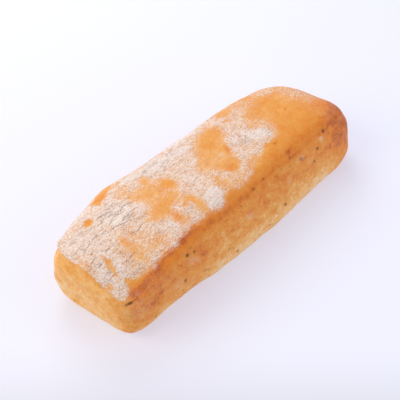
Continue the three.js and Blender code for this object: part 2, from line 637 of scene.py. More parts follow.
@dataclass(frozen=True)
class FlourDusting:
    """How densely the flour lies, from 0 to 1, with places in mm."""

    warp_x: tuple[Lumps, ...] = (Lumps(9, 11, 2.6), Lumps(3.6, 12, 1.2))
    warp_y: tuple[Lumps, ...] = (Lumps(9, 13, 2.6), Lumps(3.6, 14, 1.2))
    near_density: float = 0.78
    thinner: tuple[Fade, ...] = (Fade(-70, -40, -0.12), Fade(54, 76, -0.6))
    unevenness: tuple[Lumps, ...] = (Lumps(14, 15, 0.1), Lumps(5, 16, 0.08))

    patches: tuple[Patch, ...] = (
        Patch(-86, 14, 17, 12, softness=0.45),
        Patch(-122, 16, 16, 20, strength=0.84, softness=0.5),
        Patch(-108, 35, 20, 6, turn=14, strength=0.88, softness=0.5),
        Patch(-124, -17, 12, 15, strength=0.84, softness=0.5),
        Patch(-114, -12, 7, 14, strength=0.86, softness=0.5),
        Patch(-72, -18, 12, 5, turn=-20, strength=0.7, softness=0.6),
        Patch(-52, 37, 13, 6, strength=0.95, softness=0.5),
        Patch(-25, 30, 25, 13, strength=0.95, softness=0.5),
        Patch(4, 38, 24, 6, turn=-3, strength=0.95, softness=0.5),
        Patch(-18, 9, 12, 13, strength=0.7, softness=0.5),
        Patch(-22, -24, 10, 9, strength=1.1),
        Patch(-46, -25, 9, 5, strength=0.6, softness=0.6),
        Patch(-6, 27, 12, 8, strength=0.95, softness=0.5),
        Patch(-40, 30, 14, 9, strength=0.95, softness=0.5),
        Patch(-24, -5, 10, 12, strength=0.8, softness=0.5),
        Patch(52, -4, 12, 7, turn=-35, strength=1.05, softness=0.5),
        Patch(39, 2, 13, 12, turn=-30, strength=0.8, softness=0.45),
        Patch(30, -13, 15, 6, turn=-6, strength=0.6, softness=0.6),
        Patch(15, -21, 5, 4, strength=0.5, softness=0.6),
        Patch(64, -12, 5, 4, turn=-40, strength=0.5, softness=0.6),
        Patch(14, -3, 5, 3, strength=0.3, softness=0.6),
        Patch(50, 20, 14, 12, turn=20, strength=0.4, softness=0.6),
        Patch(68, 30, 16, 9, strength=0.36, softness=0.6),
        Patch(116, 14, 11, 22, turn=6, strength=0.38, softness=0.6),
        Patch(101, 32, 16, 8, strength=0.45, softness=0.5),
    )

    bare_patches: tuple[Patch, ...] = (
        Patch(-78, 40, 11, 4.4, turn=22, strength=0.95, softness=0.3),
        Patch(-86.5, 36, 3.2, 3.6, softness=0.3),
        Patch(-105, 25.5, 3.8, 3.2, softness=0.3),
        Patch(-60, 16, 9, 7, turn=-10, strength=0.75, softness=0.6),
        Patch(-54, 6, 12, 9, turn=20, strength=0.72, softness=0.6),
        Patch(-50, 13, 7, 7, strength=0.5, softness=0.6),
        Patch(-95, -16, 15, 15, strength=0.42, softness=0.6),
        Patch(-80, -26, 9, 6, strength=0.4, softness=0.6),
        Patch(-60, -6, 15, 7, turn=4, strength=0.86, softness=0.55),
        Patch(-47, 24, 5, 6, turn=-10, strength=0.8, softness=0.6),
        Patch(-39, 8.5, 5.5, 8, turn=8, softness=0.45),
        Patch(-44, -4, 7, 5, strength=0.75, softness=0.5),
        Patch(-56, -20, 4.5, 11, turn=8, strength=0.75, softness=0.7),
        Patch(-36, -22, 3.8, 12, strength=0.8, softness=0.6),
        Patch(-40, -14, 6, 4, strength=0.7, softness=0.5),
        Patch(-98.5, -14, 3.5, 14, strength=0.6, softness=0.6),
        Patch(-120, -14, 2.2, 7.5, turn=-14, strength=0.85),
        Patch(-130, -23, 2, 2.4, strength=0.8),
        Patch(-134, -2, 4, 9, turn=-6, strength=0.45, softness=0.6),
        Patch(-117.5, -30, 2.6, 3.4),
        Patch(-68, 28, 6, 6, turn=-30, strength=0.55, softness=0.7),
        Patch(-66, 40, 7, 3, strength=0.5, softness=0.5),
        Patch(20, 19, 16, 10, turn=14, strength=0.92, softness=0.45),
        Patch(10, 9, 12, 10, turn=-10, strength=0.85, softness=0.5),
        Patch(-3, 1, 9, 7, turn=10, strength=0.75, softness=0.55),
        Patch(20, 1.5, 5, 8, turn=-22, strength=0.9, softness=0.6),
        Patch(9, -10, 10, 9, turn=-24, strength=0.93, softness=0.4),
        Patch(53, 35, 9, 6, turn=5, strength=0.85, softness=0.5),
        Patch(66, 14, 10, 7, strength=0.6, softness=0.5),
        Patch(-8, -21, 5, 11, strength=0.62, softness=0.6),
        Patch(4, -25, 10, 6, strength=0.45, softness=0.6),
        Patch(27, -22, 9, 4.5, turn=20, strength=0.6, softness=0.6),
        Patch(45, 24, 4, 2.5, strength=0.7, softness=0.5),
        Patch(57, 6, 5, 3, turn=-20, strength=0.55, softness=0.5),
    )

    # Front limit of the flour on the top: x along the loaf, then y across it.
    limit_x: tuple[float, ...] = (
        -142, -131, -122, -118, -112, -95, -60, -33, -25,
        -14, 10, 28, 46, 66, 78, 90, 110, 142,
    )
    limit_y: tuple[float, ...] = (
        -48, -42, -35, -30, -32, -36, -34.5, -33, -36,
        -31, -32, -25, -17, -15, 2, 30, -40, -60,
    )
    limit_edge: Fade = Fade(-1.5, 4.5)

    # The flour stops at the crease over the near end, and it reaches a little over the back edge.
    near_edge: Fade = Fade(-0.5, 2.5)
    near_edge_wander: Lumps = Lumps(7, 18, 0.8)
    past_near_edge: Fade = Fade(16, 26)
    over_back: Fade = Fade(6, 2)
    over_back_part: Fade = Fade(18, 32)
    over_back_wander: Lumps = Lumps(6, 19)
    over_corner_x: Fade = Fade(-118, -130, 6)
    over_corner_y: Fade = Fade(30, 38)

    # Stray grains of flour on the front side, as x and z.
    side_dust: tuple[Patch, ...] = (
        Patch(-122, 36, 10, 12, strength=0.1, softness=0.7),
        Patch(-66, 41, 7, 2.6, turn=-25, strength=0.17, softness=0.8),
        Patch(-100, 44, 14, 6, strength=0.06, softness=0.7),
    )
    front_side: float = -20

    underside: float = 0.45
    underside_lumps: Lumps = Lumps(24, 17, 0.35)
    faces_down: Fade = Fade(-0.6, -0.9)

    def density(self, s: CrustSurface, form: LoafForm) -> np.ndarray:
        """Tells how densely the flour lies.

        Args:
            s: The sculpted crust.
            form: The form of the plain loaf.

        Returns:
            The density at each point, from 0 to 1.
        """
        x = s.x + total(self.warp_x, s.points)
        y = s.y + total(self.warp_y, s.points)
        density = self.near_density + total(self.thinner, x)
        density = np.maximum(density, strongest(self.patches, x, y))
        for patch in self.bare_patches:
            density *= 1 - patch.cover(x, y)
        density *= self.limit_edge.at(y - np.interp(x, self.limit_x, self.limit_y))
        density *= 1 + total(self.unevenness, s.points)

        off_near_end = (1 + s.blank[:, 0]) * form.length / 2
        on_skin = self.near_edge.at(off_near_end + self.near_edge_wander.at(s.points))
        density *= np.maximum(on_skin, self.past_near_edge.at(s.y))
        over_corner = self.over_corner_x.at(s.x) * self.over_corner_y.at(s.y)
        down_back = s.below_crease - over_corner + self.over_back_wander.at(s.points)
        density *= np.maximum(s.on_top, self.over_back.at(down_back) * self.over_back_part.at(s.y))

        dust = strongest(self.side_dust, s.x, s.z) * (s.y < self.front_side)
        underside = self.underside + self.underside_lumps.at(s.points)
        density = np.maximum(density, dust) + underside * self.faces_down.at(s.normals[:, 2])
        return np.clip(density, 0, 1)


@dataclass(frozen=True)
class Browning:
    """How far each part of the crust is baked, from 0 (pale) to 1 (dark), with painted shade in the groove
    under the shoulder and in a few other places, with places in mm.
    """

    # The way from the crease round the top, which is positive on the top and negative on the side.
    half_top_width: float = 42
    half_top_length: float = 90
    crease_wander: Lumps = Lumps(12, 23, 2.5, (2, 1, 1))
    on_side: Fade = Fade(3, -5)
    front_across: Fade = Fade(-5, -20)
    front_along: Fade = Fade(-0.99, -0.9)
    near_part: Fade = Fade(-30, -75)
    middle_part: Fade = Fade(-20, 20)
    far_part: Fade = Fade(85, 125)

    # The bands that run along the front shoulder.
    shoulder: Ridge = Ridge(2, 6.5)
    shoulder_bake: float = 0.24
    shoulder_near_loss: float = 0.08
    shoulder_far_loss: float = 0.06
    near_shoulder: Ridge = Ridge(3.5, 4.5, 0.31)
    far_shoulder: Ridge = Ridge(5, 5, 0.1)
    far_shoulder_part: Fade = Fade(25, 55)
    fold: Ridge = Ridge(-3, 2, 0.15)
    fold_wander: Lumps = Lumps(6, 27, 1.6, (2, 1, 1))
    # The groove under the shoulder is darkened with painted shade.
    groove_line: GrooveLine = GrooveLine(47.5)
    groove: Ridge = Ridge(0, 2.2, 0.06)
    groove_shade_wander: Lumps = Lumps(14, 25, 1.6)
    groove_part: Fade = Fade(-30, 10)

    side: float = 0.51
    upper_side: Fade = Fade(-0.2, 0.7, 0.08)
    pale_foot: Fade = Fade(0.3, -0.4, 0.28)
    near_foot_share: float = 0.5
    near_gain: float = 0.08
    far_gain: float = 0.09

    near_end: float = 0.3
    near_end_rise: float = 0.04
    near_end_middle: Ridge = Ridge(-0.1, 0.5, -0.06)
    near_end_corner: Fade = Fade(-22, -42, 0.22)
    faces_near: Fade = Fade(0.25, 0.75)
    least_sideways: float = 0.5

    top: float = 0.46
    far_end: Fade = Fade(100, 130, 0.1)
    far_top: Fade = Fade(0, 30, 0.02)
    clouds: tuple[Lumps, ...] = (Lumps(26, 21, 0.05), Lumps(8, 22, 0.05))
    blotches: Lumps = Lumps(5, 24, 0.17, (1.6, 1, 1))
    blotched_side: Fade = Fade(0, -8)
    far_calm: float = 0.6
    darkest: float = 0.92

    # Places on the top that are baked darker, or lighter where the strength is negative; the one at the far
    # end is partly painted shade.
    top_patches: tuple[Patch, ...] = (
        Patch(-117, -33, 3.5, 4, strength=0.12, softness=0.8),
        Patch(-4, -41, 10, 7, strength=-0.1, softness=0.8),
        Patch(-111, -39, 11, 5, strength=0.1, softness=0.8),
        Patch(-56, -17, 3, 7, turn=8, strength=0.18, softness=0.7),
        Patch(-47, 7, 3, 8, turn=-30, strength=0.1, softness=0.7),
        Patch(-38.5, 10.5, 5, 5, strength=0.06, softness=0.7),
        Patch(-82, 38, 8, 4, strength=0.1, softness=0.7),
        Patch(-105, 25.5, 3.5, 3, strength=0.1, softness=0.7),
        Patch(20.5, 1, 1.6, 4.5, turn=-22, strength=0.25, softness=0.7),
        Patch(9, -14, 4, 4, strength=0.1, softness=0.7),
        Patch(35.4, 19, 1.3, 1.3, strength=0.4, softness=0.7),
        Patch(53.5, -20, 1.3, 1.1, strength=0.4, softness=0.7),
        Patch(92, 1, 1.6, 1.0, turn=30, strength=0.3, softness=0.7),
        Patch(57, -31, 2.2, 1.2, strength=0.5, softness=0.7),
        Patch(75.5, 35, 2.0, 1.0, turn=30, strength=0.25, softness=0.7),
        Patch(44, -24, 12, 4, strength=0.12, softness=0.7),
        Patch(110, -11, 8, 5, strength=0.1, softness=0.7),
        Patch(123, -17, 15, 18, strength=0.07, softness=0.95),
        Patch(92, -2, 22, 20, strength=0.04, softness=0.9),
        Patch(85, -22, 30, 6, strength=0.1, softness=0.8),
        # The darker rim along the far end of the top: partly real browning, partly painted shade where the
        # top turns away from the light.
        Patch(137, 8, 7, 32, strength=0.22, softness=0.95),
    )

    # Places on the front side that are baked darker, as x and z.
    side_patches: tuple[Patch, ...] = (
        Patch(-106, 38, 14, 7, strength=0.07, softness=0.9),
        Patch(-99, 36.5, 3, 2, strength=0.12, softness=0.9),
        Patch(-55, 41, 6, 3.5, turn=-20, strength=0.15, softness=0.9),
        Patch(-68, 35, 8, 2.5, turn=-20, strength=0.14, softness=0.9),
        Patch(-57, 34, 6, 2, turn=-35, strength=0.12, softness=0.9),
        Patch(-110, 29, 9, 5, turn=-20, strength=0.06, softness=0.9),
        Patch(-12, 44, 14, 3, strength=0.08, softness=0.9),
        Patch(15, 38, 10, 4, turn=-15, strength=0.08, softness=0.9),
        Patch(20, 45, 9, 3.5, strength=0.05, softness=0.9),
        Patch(34, 43, 6, 6, strength=0.05, softness=0.9),
        Patch(76, 37.5, 22, 3, strength=0.1, softness=0.9),
        Patch(101, 36, 12, 4, turn=-6, strength=0.12, softness=0.9),
        Patch(78, 27, 4, 4, strength=0.1, softness=0.9),
        Patch(117, 30, 7, 7, strength=0.1, softness=0.9),
        Patch(122, 38, 20, 12, strength=0.1, softness=0.9),
        Patch(134, 36, 16, 18, strength=0.12, softness=0.9),
    )
    front_side: Fade = Fade(25, -25)

    def shoulder_bands(self, s: CrustSurface, past_crease: np.ndarray) -> np.ndarray:
        """Browns the bands that run along the front shoulder, and darkens the groove under it with painted
        shade.

        Args:
            s: The sculpted crust.
            past_crease: The way from the crease, positive on the top and negative on the side.

        Returns:
            What the bands add to the browning at each point.
        """
        near_share = self.near_part.at(s.x)
        loss = self.shoulder_near_loss * near_share + self.shoulder_far_loss * self.middle_part.at(s.x)
        bands = self.shoulder.at(past_crease) * (self.shoulder_bake - loss)
        bands += self.near_shoulder.at(past_crease) * near_share
        bands += self.far_shoulder.at(past_crease) * self.far_shoulder_part.at(s.x)
        bands += self.fold.at(past_crease + self.fold_wander.at(s.points)) * (1 - near_share)
        off_groove = s.z + self.groove_shade_wander.at(s.points) - self.groove_line.at(s.x)
        # Painted shade in the groove.
        bands += self.groove.at(off_groove) * self.groove_part.at(s.x)
        return bands * self.front_across.at(s.y) * self.front_along.at(s.blank[:, 0])

    def sides(self, s: CrustSurface) -> np.ndarray:
        """Browns the long sides and the ends.

        Args:
            s: The sculpted crust.

        Returns:
            The browning at each point, as if it were on a side.
        """
        up = s.blank[:, 2]
        near_share = self.near_part.at(s.x)
        far_share = self.far_part.at(s.x)
        # Towards both ends the pale foot is weakened; the darker foot there is painted shade where the loaf
        # meets the table.
        foot_share = (1 - self.near_foot_share * near_share) * (1 - far_share)
        sides = self.side + self.upper_side.at(up) - self.pale_foot.at(up) * foot_share
        sides += self.near_gain * near_share + self.far_gain * far_share
        near_end = self.near_end + self.near_end_rise * up
        near_end += self.near_end_middle.at(up) + self.near_end_corner.at(s.y)
        sideways = np.hypot(s.normals[:, 0], s.normals[:, 1])
        share = self.faces_near.at(-s.normals[:, 0] / np.maximum(sideways, self.least_sideways))
        return sides * (1 - share) + near_end * share

    def bake(self, s: CrustSurface) -> np.ndarray:
        """Tells how far the crust is baked.

        Args:
            s: The sculpted crust.

        Returns:
            The browning at each point, from 0 (pale) to 1 (dark).
        """
        along, across = s.blank.T[:2]
        inward = np.minimum((across + 1) * self.half_top_width, (1 - along) * self.half_top_length)
        past_crease = np.where(s.on_top > 0, inward, -s.below_crease) + self.crease_wander.at(s.points)
        on_side = self.on_side.at(past_crease)
        bake = (1 - on_side) * self.top + on_side * self.sides(s) + self.shoulder_bands(s, past_crease)
        bake += self.far_end.at(s.x) + self.far_top.at(s.x) * s.on_top
        for patch in self.side_patches:
            bake += patch.cover(s.x, s.z) * self.front_side.at(s.y) * on_side
        for patch in self.top_patches:
            bake += patch.cover(s.x, s.y) * s.on_top
        blotchy = self.blotched_side.at(past_crease) * (1 - self.far_calm * self.far_part.at(s.x))
        bake += total(self.clouds, s.points) + blotchy * self.blotches.at(s.points)
        return np.clip(bake, 0, self.darkest)


@dataclass(frozen=True)
class Blemishes:
    """Cracks, creases, pits, pores, freckles and pale spots of the crust, with places in mm."""

    cracks: tuple[CrackLine, ...] = (
        CrackLine((-97, 22), (-84, 21)),
        CrackLine((-90, 17), (-70, 16)),
        CrackLine((-98, 12), (-80, 14), strength=0.8),
        CrackLine((-99, 6), (-84, 5)),
        CrackLine((-93, -6), (-78, -7), strength=0.8),
        CrackLine((-84, 9), (-70, 8), strength=0.7),
        CrackLine((-112, 10), (-100, 7), strength=0.6),
        CrackLine((-118, -2), (-104, -4), strength=0.5),
        CrackLine((-110, -18), (-98, -20), strength=0.6),
        CrackLine((-124, -20), (-113, -22), strength=0.5),
        CrackLine((-104, 16), (-96, 19), strength=0.6),
        CrackLine((-88, 26), (-78, 24), strength=0.7),
        CrackLine((-75, 21), (-66, 20), strength=0.6),
    )
    crack_dent: Ridge = Ridge(0, 0.6, 0.5)

    # Places on the top where the floured skin is creased most.
    creased: tuple[Patch, ...] = (
        Patch(-86, 12, 24, 15, strength=0.9, softness=0.6),
        Patch(-112, -6, 26, 30, strength=0.9, softness=0.6),
        Patch(-62, -12, 30, 16, strength=0.65, softness=0.6),
        Patch(-26, 28, 30, 13, strength=0.75, softness=0.6),
        Patch(46, 0, 22, 11, strength=0.75, softness=0.6),
    )
    least_creased: float = 0.36

    # Pits on the front side, as x and z.
    pits: tuple[Patch, ...] = (
        Patch(-126, 40.5, 3.4, 0.6, turn=8, strength=0.9),
        Patch(-121, 41.5, 2.6, 0.6, turn=8, strength=0.5),
        Patch(-70, 48, 1.8, 1.1, strength=0.85),
        Patch(-63, 46.5, 1.5, 1.0, strength=0.6),
        Patch(-77, 29, 1.2, 1.9, strength=0.8),
        Patch(87, 43, 1.4, 1.2, strength=0.8),
        Patch(80, 36, 1.2, 1.2, strength=0.7),
        Patch(100, 50, 1.4, 1.3, strength=0.8),
        Patch(36, 24.5, 1.4, 1.0, strength=0.85),
        Patch(9, 54, 1.4, 1.0, strength=0.7),
        Patch(66, 46, 1.8, 1.5, strength=0.45),
        Patch(-22, 18, 1.5, 1.2, strength=0.5),
        Patch(15, 18, 1.6, 1.0, strength=0.4),
        Patch(-30, 26, 1.4, 1.2, strength=0.35),
        Patch(-52, 21, 1.1, 0.9, strength=0.35),
        Patch(56, 52, 1.2, 1.1, strength=0.5),
    )
    front_side: float = -10
    pit_dent: float = 0.5

    # Small scorched pores, scattered over all the sides.
    pore_count: int = 90
    pore_seed: int = 7
    pore_radius: tuple[float, float] = (0.7, 1.5)
    pore_strength: tuple[float, float] = (0.15, 0.6)
    pore_stretch: tuple[float, float, float] = (1.5, 1, 1)
    pore_core: float = 0.3
    lowest_pore: float = 10

    # Pale spots on the front side, as x and z, over a faint blush.
    pale_spots: tuple[Patch, ...] = (
        Patch(-4, 40, 3.5, 2, strength=0.3, softness=0.95),
        Patch(95, 46.5, 2, 1.2, turn=20, strength=0.5, softness=0.9),
        Patch(46, 39, 2, 2, strength=0.25, softness=0.95),
        Patch(67, 46, 3, 1.5, strength=0.25, softness=0.95),
        Patch(-84, 31, 4, 6, strength=0.15, softness=0.8),
    )
    blush: float = 0.024
    blush_along: Fade = Fade(-0.99, -0.9)
    under_shoulder: Fade = Fade(3, 9)

    # How freckled the crust is: the least, and what the sides add.
    freckled: float = 0.3
    side_freckled: float = 0.3
    side_changes: tuple[Fade, ...] = (Fade(-90, -30, 0.14), Fade(95, 125, -0.35))

    def crack_lines(self, s: CrustSurface) -> tuple[np.ndarray, np.ndarray]:
        """Traces the cracks.

        Args:
            s: The sculpted crust.

        Returns:
            How open the nearest crack is at each point, and the signed distance to its line.
        """
        opening = np.zeros(len(s.points))
        aside = np.zeros(len(s.points))
        for number, crack in enumerate(self.cracks):
            own_opening, own_aside = crack.trace(s.x, s.y, number)
            aside = np.where(own_opening > opening, own_aside, aside)
            opening = np.maximum(opening, own_opening)
        return opening * s.on_top, aside

    def pores(self, s: CrustSurface) -> np.ndarray:
        """Scatters the pores over the sides.

        Args:
            s: The sculpted crust.

        Returns:
            The strength of the pores at each point.
        """
        dice = np.random.default_rng(self.pore_seed)
        on_side = np.flatnonzero((s.on_top < 1) & (s.z > self.lowest_pore))
        pores = np.zeros(len(s.points))
        for spot in dice.choice(on_side, self.pore_count, replace=False):
            radius = dice.uniform(*self.pore_radius)
            strength = dice.uniform(*self.pore_strength)
            distance = np.linalg.norm((s.points - s.points[spot]) / self.pore_stretch, axis=1)
            pores = np.maximum(pores, strength * smooth_step(radius, self.pore_core * radius, distance))
        return pores

    def mark(self, s: CrustSurface) -> None:
        """Stores the blemishes as attributes, and dents the crust at the cracks and the pits.

        Args:
            s: The sculpted crust.
        """
        on_side = 1 - s.on_top
        on_front = (s.y < self.front_side) * on_side
        under_shoulder = self.under_shoulder.at(s.below_crease)
        freckled = self.side_freckled + total(self.side_changes, s.x)
        opening, aside = self.crack_lines(s)
        creased = np.maximum(self.least_creased, strongest(self.creased, s.x, s.y))
        pits = np.maximum(strongest(self.pits, s.x, s.z) * on_front, self.pores(s))
        blush = self.blush * under_shoulder * self.blush_along.at(s.blank[:, 0])
        pale = np.maximum(blush, strongest(self.pale_spots, s.x, s.z))
        s.store(Paint.MOTTLE, self.freckled + on_side * freckled * under_shoulder)
        s.store(Paint.CRACK, opening)
        s.store(Paint.CRACK_ASIDE, aside)
        s.store(Paint.CREASED, creased * s.on_top)
        s.store(Paint.PIT, pits)
        s.store(Paint.PALE, pale * on_front)
        dents = opening * self.crack_dent.at(aside) + pits * self.pit_dent
        s.move_to(s.points - s.normals * dents[:, None])


@dataclass(frozen=True)
class Grain:
    """A noise pattern: the size of its lumps in mm, its detail and its roughness."""

    size: float
    detail: float
    roughness: float = 0.5

    def on(self, place: Any) -> dict:
        """Gives the inputs of a noise texture on the given coordinates."""
        scale = 1 / (self.size * MM)
        return {"Vector": place, "Scale": scale, "Detail": self.detail, "Roughness": self.roughness}


@dataclass(frozen=True)
class Span:
    """A range of values and the range that it is mapped to."""

    low: float = 0.0
    high: float = 1.0
    to_low: float = 0.0
    to_high: float = 1.0

    def of(self, value: Any) -> dict:
        """Gives the inputs of a node that maps the given value."""
        ends = {"From Min": self.low, "From Max": self.high, "To Min": self.to_low, "To Max": self.to_high}
        return {"Value": value} | ends


@dataclass(frozen=True)
class Gain:
    """A factor, and what is added after it."""

    factor: float
    added: float

    def of(self, value: Any) -> dict:
        """Gives the inputs of a multiply-add node for the given value."""
        return {0: value, 1: self.factor, 2: self.added}


@dataclass(frozen=True)
class FlouredCrust:
    """Wheat crust baked golden in a deck oven, under a dry dusting of white flour.

    The crust is a thin, dry, slightly glossy skin, amber where it is bare and brown along the
    shoulder. The flour is a matt, chalky film of fine grains that lets the crust show through, and
    it is split by fine creases that run along the loaf. The tan between the grains and the dark of
    the creases are that crust, darkened with painted shade.
    """

    # Bare crust, from the least baked to the most, with the place of each colour on the scale.
    shades: tuple[tuple[float, int], ...] = (
        (0.0, 0xF8D6A2),
        (0.28, 0xF8BE6E),
        (0.5, 0xEFA345),
        (0.78, 0xEA8828),
        (1.0, 0xC2622A),
    )
    blush: int = 0xF0D6C4
    thick_flour: int = 0xFBF0E2
    thin_flour: int = 0xF1DAC2
    # Tan between the grains of dense flour: crust dulled by the flour and darkened with painted shade.
    grain_gap_shade_tan: int = 0xCE9C74
    # Crease colour: the crust in the creases, darkened with painted shade.
    crease_crust_and_shade_tan: int = 0x8E562C
    pit_brown: int = 0x6A3010

    # Starch and protein skins have an IOR of 1.45 to 1.5. Bare crust is half matt, and flour is dead matt.
    ior: float = 1.45
    specular_level: float = 0.3
    roughness: Span = Span(to_low=0.5, to_high=0.95)

    # The skin is drawn out along the loaf and a little to one side, so its patterns are as well.
    draw_turn: float = -14.0
    draw: tuple[float, float, float] = (0.62, 1, 1)
    long_draw: tuple[float, float, float] = (0.5, 1, 1)

    # Real grains of flour are 0.1 to 0.2 mm, too fine to show, so they are drawn at 0.85 mm.
    flour_grain: Grain = Grain(0.85, 1.5, 0.6)
    flour_clump: Grain = Grain(3.4, 3, 0.6)
    wrinkle: Grain = Grain(2.0, 3, 0.6)
    grain_gain: Gain = Gain(2.6, -1.29)
    clump_gain: Gain = Gain(0.6, -0.3)
    # Painted light and shade: the crests of the wrinkles are whitened and their troughs darkened.
    crest_light_gain: Gain = Gain(1.0, -0.5)
    flour_presence: Span = Span(high=0.32)
    flour_film: Span = Span(low=0.35, to_high=0.5)

    # Fine creases and crazing, and the stretches of the skin that they are in.
    crease: Grain = Grain(2.7, 2)
    crease_middle: float = 0.5
    crease_line: Span = Span(0.045, 0.008, to_high=0.55)
    craze_size: float = 4.4
    craze_wobble: Grain = Grain(3.0, 2)
    craze_wander: float = 1.3
    craze_line: Span = Span(0.05, 0.01, to_high=0.7)
    crease_break: Grain = Grain(6.0, 2)
    crease_stretch: Span = Span(0.47, 0.62)
    caked_flour: Span = Span(0.3, 0.65, to_low=0.1)

    # Single cracks wiggle about the line that is painted on the crust.
    crack_wiggle: Grain = Grain(1.5, 1)
    crack_wander: float = 1.6
    crack_line: Span = Span(0.34, 0.08)

    mottle: Grain = Grain(9.0, 5, 0.65)
    mottle_gain: float = 0.6
    mottle_middle: float = 0.3
    freckle: Grain = Grain(1.4, 2)
    fleck: Grain = Grain(3.6, 3, 0.6)

    # How far the crust between the flour's grains is dulled and darkened to tan with painted shade, how far
    # the flour hides it, and how far its creases are darkened with painted shade.
    gap_shade_share: Span = Span(low=0.35, to_high=0.75)
    hiding: Span = Span(to_high=0.92)
    crease_shade_share: Span = Span(to_high=0.8)

    # Relief, in mm.
    fold_share: Span = Span(to_low=0.2)
    fold_height: float = 1.3
    flour_height: float = 0.14
    crease_cut: float = 0.3
    blister: Grain = Grain(2.0, 4, 0.65)
    blister_height: float = 0.9

    def painted(self, tree: bpy.types.NodeTree, paint: Paint) -> bpy.types.NodeSocket:
        """Reads one of the attributes painted on the crust."""
        return add_node(tree, "Attribute", {}, "Fac", attribute_name=paint.value)

    def build(self) -> bpy.types.Material:
        """Makes the material.

        Returns:
            The material, ready to be put on the loaf.
        """
        material = bpy.data.materials.new("deck_baked_wheat_crust_with_flour")
        material.use_nodes = True
        tree = material.node_tree
        tree.nodes.clear()
        place = add_node(tree, "TexCoord", {}, "Object")
        turn = (0, 0, math.radians(self.draw_turn))
        drawn = add_node(tree, "Mapping", {"Vector": place, "Rotation": turn, "Scale": self.draw})
        flour = self.painted(tree, Paint.FLOUR)
        long_drawn = add_node(tree, "Mapping", {"Vector": drawn, "Scale": self.long_draw})
        wrinkle = add_node(tree, "TexNoise", self.wrinkle.on(long_drawn))
        cover = self.flour_cover(tree, drawn, flour, wrinkle)
        crease = self.creases(tree, place, drawn, long_drawn, flour)
        crust = self.crust_colour(tree, place)
        skin = self.floured_colour(tree, crust, flour, cover, crease)
        normal = self.relief(tree, place, flour, cover, crease, wrinkle)
        roughness = add_node(tree, "MapRange", self.roughness.of(cover))
        finish = {
            "Base Color": skin,
            "Roughness": roughness,
            "Normal": normal,
            "IOR": self.ior,
            "Specular IOR Level": self.specular_level,
        }
        shader = add_node(tree, "BsdfPrincipled", finish)
        tree.links.new(shader, tree.nodes.new("ShaderNodeOutputMaterial").inputs["Surface"])
        return material

    def flour_cover(self, tree: bpy.types.NodeTree, drawn: Any, flour: Any, wrinkle: Any) -> Any:
        """Breaks the painted dusting up into fine grains and clumps of flour.

        Args:
            tree: The material's node tree.
            drawn: Object coordinates, shrunk along the loaf.
            flour: How densely the flour lies, from 0 to 1.
            wrinkle: Height of the skin's wrinkles, whose crests get more flour cover and whose troughs get
                less, as painted light and shade on the folds.

        Returns:
            How much of the crust the flour hides, from 0 to 1.
        """
        grain = add_node(tree, "TexNoise", self.flour_grain.on(drawn))
        clump = add_node(tree, "TexNoise", self.flour_clump.on(drawn))
        grain_share = add_node(tree, "Math", self.grain_gain.of(grain), operation="MULTIPLY_ADD")
        clump_share = add_node(tree, "Math", self.clump_gain.of(clump), operation="MULTIPLY_ADD")
        # Painted light and shade: more flour cover on the crests of the wrinkles, less in their troughs.
        crest_lighting = add_node(tree, "Math", self.crest_light_gain.of(wrinkle), operation="MULTIPLY_ADD")
        pattern = add_node(tree, "Math", {0: grain_share, 1: clump_share}, operation="ADD")
        pattern = add_node(tree, "Math", {0: pattern, 1: crest_lighting}, operation="ADD")
        presence = add_node(tree, "MapRange", self.flour_presence.of(flour))
        heaping = {0: pattern, 1: presence, 2: flour}
        heaped = add_node(tree, "Math", heaping, operation="MULTIPLY_ADD", use_clamp=True)
        film = add_node(tree, "MapRange", self.flour_film.of(flour))
        return add_node(tree, "Math", {0: heaped, 1: film}, operation="MAXIMUM")

    def creases(self, tree: bpy.types.NodeTree, place: Any, drawn: Any, long_drawn: Any, flour: Any) -> Any:
        """Joins the fine creases and the single cracks of the floured skin.

        Args:
            tree: The material's node tree.
            place: Object coordinates.
            drawn: Object coordinates, shrunk along the loaf.
            long_drawn: Object coordinates, shrunk still more along the loaf.
            flour: How densely the flour lies, from 0 to 1.

        Returns:
            1 in a crack and 0 beside it.
        """
        fold = add_node(tree, "TexNoise", self.crease.on(long_drawn))
        off_fold = add_node(tree, "Math", {0: fold, 1: self.crease_middle}, operation="SUBTRACT")
        off_fold = add_node(tree, "Math", {0: off_fold}, operation="ABSOLUTE")
        line = add_node(tree, "MapRange", self.crease_line.of(off_fold), interpolation_type="SMOOTHSTEP")
        wobble = add_node(tree, "TexNoise", self.craze_wobble.on(place), "Color")
        wandering = {0: wobble, 1: (self.craze_wander * MM,) * 3, 2: long_drawn}
        wandering = add_node(tree, "VectorMath", wandering, operation="MULTIPLY_ADD")
        cells = {"Vector": wandering, "Scale": 1 / (self.craze_size * MM)}
        off_craze = add_node(tree, "TexVoronoi", cells, "Distance", feature="DISTANCE_TO_EDGE")
        craze = add_node(tree, "MapRange", self.craze_line.of(off_craze), interpolation_type="SMOOTHSTEP")
        line = add_node(tree, "Math", {0: line, 1: craze}, operation="MAXIMUM")
        breaks = add_node(tree, "TexNoise", self.crease_break.on(drawn))
        stretch = self.crease_stretch.of(breaks)
        stretch = add_node(tree, "MapRange", stretch, interpolation_type="SMOOTHSTEP")
        creased = self.painted(tree, Paint.CREASED)
        fine = add_node(tree, "Math", {0: line, 1: stretch}, operation="MULTIPLY")
        fine = add_node(tree, "Math", {0: fine, 1: creased}, operation="MULTIPLY")
        caked = add_node(tree, "MapRange", self.caked_flour.of(flour))
        fine = add_node(tree, "Math", {0: fine, 1: caked}, operation="MULTIPLY")

